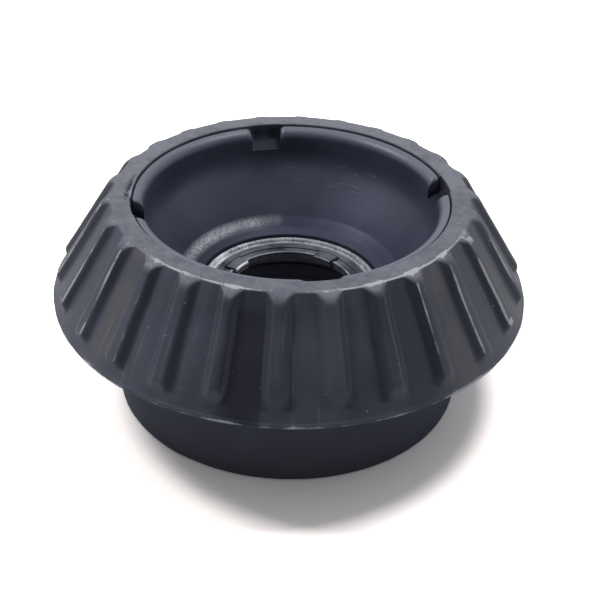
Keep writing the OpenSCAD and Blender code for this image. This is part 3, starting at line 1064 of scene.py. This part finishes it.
class STRUT_OT_cup(bpy.types.Operator):
    """Make the pressed steel cup with its notched lip"""

    bl_idname = "strut.cup"
    bl_label = "Steel cup"

    def execute(self, context):
        s = context.scene.strut_cup
        first = first_notch(context)
        pitch = pitch_of(s.notch_count)
        half_angle = notch_half(s)

        def section(angle):
            beside, _ = away_from(angle, first, pitch)
            outside = (abs(beside) - half_angle) * CUP_RADIUS
            if outside < 0:
                return cup_section(s, 1.0)
            near = max(0.0, s.notch_round - outside)
            drop = s.notch_round - math.sqrt(s.notch_round**2 - near**2)
            return cup_section(s, drop / s.notch_depth)

        half = [0, *(half_angle * t for t in NOTCH_COLUMNS)]
        half += evenly_to(pitch / 2, half, 12)
        bm = swept(section, both_sides(half), s.notch_count, first)
        wear_and_painted_light = bm.verts.layers.float.new("wear_and_painted_light")
        for vert in bm.verts:
            # Marks the notches and the edge of the hole for painted shade
            beside, _ = away_from(math.atan2(vert.co.y, vert.co.x), first, pitch)
            in_notch = abs(beside) < half_angle and vert.co.z > CUP_HIGH.z - s.notch_depth - 0.1 * MM
            in_crevice = vert.co.xy.length < s.hole_radius + 0.1 * MM
            vert[wear_and_painted_light] = -1.0 if in_notch else -0.5 if in_crevice else 0.0
        piece("notched_steel_cup", bm, "mount", "cup_coat", cup_coat(s), "strut_cup")
        return {"FINISHED"}


class STRUT_OT_upper_case(bpy.types.Operator):
    """Make the bearing's upper case, whose neck and lugs show in the cup"""

    bl_idname = "strut.upper_case"
    bl_label = "Bearing upper case"

    def execute(self, context):
        s = context.scene.strut_bearing
        first = first_notch(context) + math.pi / s.lug_count
        pitch = pitch_of(s.lug_count)
        half_angle = math.asin(s.lug_width / 2 / s.neck_hole)
        slot_angle = half_angle + s.lug_slot / s.neck_hole

        def section(angle):
            beside, _ = away_from(angle, first, pitch)
            return case_section(s, abs(beside) < half_angle, abs(beside) < slot_angle)

        half = [0, *(half_angle * t for t in LUG_COLUMNS)]
        for edge in (half_angle, slot_angle):
            half += [edge - COLUMN_STEP, edge + COLUMN_STEP]
        half += [slot_angle * t for t in SLOT_COLUMNS]
        half += evenly_to(pitch / 2, half, 10)
        bm = swept(section, both_sides(half), s.lug_count, first)
        wear_and_painted_light = bm.verts.layers.float.new("wear_and_painted_light")
        for vert in bm.verts:
            x, y, z = vert.co
            r = math.hypot(x, y)
            angle = math.atan2(y, x)
            rough = noise.noise(vert.co * NECK_SCALE)
            vert[wear_and_painted_light] = neck_wear_and_painted_light(s, angle, r, z, rough)
        material = case_plastic(s, "black_plastic", s.plastic)
        piece("upper_case_with_lugs", bm, "mount", "bearing_case", material, "bearing_upper_case", sharp=35)
        return {"FINISHED"}


class STRUT_OT_lower_case(bpy.types.Operator):
    """Make the bearing's turning lower case, the seat for the spring plate"""

    bl_idname = "strut.lower_case"
    bl_label = "Bearing lower case"

    def execute(self, context):
        s = context.scene.strut_bearing
        bm = bmesh.new()
        ring = [bm.verts.new((p.x, 0, p.y)) for p in turntable_outline()]
        edges = [bm.edges.new((ring[i - 1], ring[i])) for i in range(len(ring))]
        bmesh.ops.spin(
            bm,
            geom=ring + edges,
            cent=(0, 0, 0),
            axis=(0, 0, 1),
            angle=2 * math.pi,
            steps=160,
            use_merge=True,
        )
        material = case_plastic(s, "grey_plastic", s.lower)
        piece("turning_lower_case", bm, "turntable", "bearing_case", material, "bearing_lower_case", sharp=35)
        return {"FINISHED"}


class STRUT_OT_bearing_finish(bpy.types.Operator):
    """Give the races, balls, cage and seals of the bearing their finishes"""

    bl_idname = "strut.bearing_finish"
    bl_label = "Bearing finishes"

    def execute(self, context):
        s = context.scene.strut_bearing
        finishes = (
            (ground_steel(s), "race_steel", ["bearing_upper_race", "bearing_lower_race"]),
            (polished_steel(s), "ball_steel", BALLS),
            (cage_nylon(s), "cage_nylon", ["ball_cage"]),
            (seal_rubber(s), "seal_rubber", ["inner_seal", "outer_seal"]),
        )
        for material, slot, nodes in finishes:
            for name in nodes:
                node = frame["nodes"][name]
                node.data.materials.clear()
                node.data.materials.append(material)
        return {"FINISHED"}


def studio_floor(s):
    """Pale floor that the camera sees as white, apart from the shadow on it."""
    material = bpy.data.materials.new("studio_floor")
    tree = empty_tree(material)
    path = add(tree, "LightPath").outputs
    seen = most(path["Is Camera Ray"], path["Is Glossy Ray"])
    seen = most(seen, path["Is Transmission Ray"])
    bright = shade(WARM_WHITE, s.white)
    shown = tint(path["Is Camera Ray"], tint(seen, s.floor, (1, 1, 1)), bright)
    matt = add(tree, "BsdfDiffuse", {"Color": shown}).outputs[0]
    lift = add(tree, "Emission", {"Color": (1, 1, 1, 1), "Strength": times(seen, FLOOR_GLOW)})
    both = add(tree, "AddShader", {0: matt, 1: lift.outputs[0]}).outputs[0]
    add(tree, "OutputMaterial", {"Surface": both})
    return material


def studio_world(s):
    """Soft light from all round, stronger from the back, and a brighter room for gloss to show."""
    world = bpy.data.worlds.new("studio")
    tree = empty_tree(world)
    path = add(tree, "LightPath").outputs
    seen = most(path["Is Camera Ray"], path["Is Transmission Ray"])
    way = add(tree, "TexCoord").outputs["Generated"]
    back = axis(way, "Y")
    room = between(back, -0.7, 0.7, 0.15, 0.9)
    sides = between(maths("ABSOLUTE", axis(way, "X"), 0), 0.6, 0.95, 0.0, 0.5)
    fill = between(back, -0.8, 0.6, 0.45 * s.sky, 1.6 * s.sky)
    shine = less(plus(room, sides), fill)
    soft = plus(times(path["Is Glossy Ray"], shine), fill)
    strength = most(seen, soft)
    sky = add(tree, "Background", {"Color": SKY_COLOUR, "Strength": strength}).outputs[0]
    add(tree, "OutputWorld", {"Surface": sky})
    return world


def area_light(name, place, aim, power):
    """A soft square lamp at a place, turned to a point."""
    data = bpy.data.lights.new(name, "AREA")
    data.size = LAMP_SIZE
    data.energy = power
    lamp = bpy.data.objects.new(name, data)
    lamp.location = place
    lamp.rotation_euler = (Vector(aim) - Vector(place)).to_track_quat("-Z", "Y").to_euler()
    bpy.context.scene.collection.objects.link(lamp)


class STRUT_OT_stage(bpy.types.Operator):
    """Set the camera, the pale floor and the soft light"""

    bl_idname = "strut.stage"
    bl_label = "Stage"

    def execute(self, context):
        s = context.scene.strut_stage
        scene = context.scene
        scene.view_settings.view_transform = "Standard"
        bm = bmesh.new()
        bmesh.ops.create_grid(bm, x_segments=1, y_segments=1, size=FLOOR_HALF)
        mesh = bpy.data.meshes.new("floor")
        bm.to_mesh(mesh)
        bm.free()
        mesh.materials.append(studio_floor(s))
        floor = bpy.data.objects.new("floor", mesh)
        scene.collection.objects.link(floor)

        scene.world = studio_world(s)
        for name, place, power in LAMPS:
            area_light(name, place, s.target, power)

        data = bpy.data.cameras.new("camera")
        data.lens = s.lens
        data.sensor_width = 36
        data.clip_start = 0.01
        camera = bpy.data.objects.new("camera", data)
        back = Vector((0, -math.cos(s.elevation), math.sin(s.elevation)))
        tilt = Matrix.Rotation(math.pi / 2 - s.elevation, 4, "X") @ Matrix.Rotation(s.roll, 4, "Z")
        camera.matrix_world = Matrix.Translation(Vector(s.target) + s.distance * back) @ tilt
        scene.collection.objects.link(camera)
        scene.camera = camera
        return {"FINISHED"}


class STRUT_PT_panel(bpy.types.Panel):
    """Lists the makers and settings of the strut mount"""

    bl_idname = "STRUT_PT_panel"
    bl_label = "Strut mount"
    bl_space_type = "VIEW_3D"
    bl_region_type = "UI"
    bl_category = "Strut mount"

    def draw(self, context):
        layout = self.layout
        for operator in OPERATORS:
            layout.operator(operator.bl_idname)
        for name in SETTINGS:
            box = layout.box()
            group = getattr(context.scene, name)
            for prop in group.bl_rna.properties:
                if prop.identifier not in {"rna_type", "name"}:
                    box.prop(group, prop.identifier)


SETTINGS = {
    "strut_rubber": RubberSettings,
    "strut_cup": CupSettings,
    "strut_bearing": BearingSettings,
    "strut_stage": StageSettings,
}
OPERATORS = (
    STRUT_OT_stage,
    STRUT_OT_rubber_cone,
    STRUT_OT_cup,
    STRUT_OT_upper_case,
    STRUT_OT_lower_case,
    STRUT_OT_bearing_finish,
)
CLASSES = (*SETTINGS.values(), *OPERATORS, STRUT_PT_panel)


def register():
    for cls in CLASSES:
        bpy.utils.register_class(cls)
    for name, cls in SETTINGS.items():
        setattr(bpy.types.Scene, name, PointerProperty(type=cls))


def unregister():
    for name in SETTINGS:
        delattr(bpy.types.Scene, name)
    for cls in reversed(CLASSES):
        bpy.utils.unregister_class(cls)


def main():
    register()
    bpy.ops.strut.stage()
    bpy.ops.strut.rubber_cone()
    bpy.ops.strut.cup()
    bpy.ops.strut.upper_case()
    bpy.ops.strut.lower_case()
    bpy.ops.strut.bearing_finish()


if __name__ == "__main__":
    main()
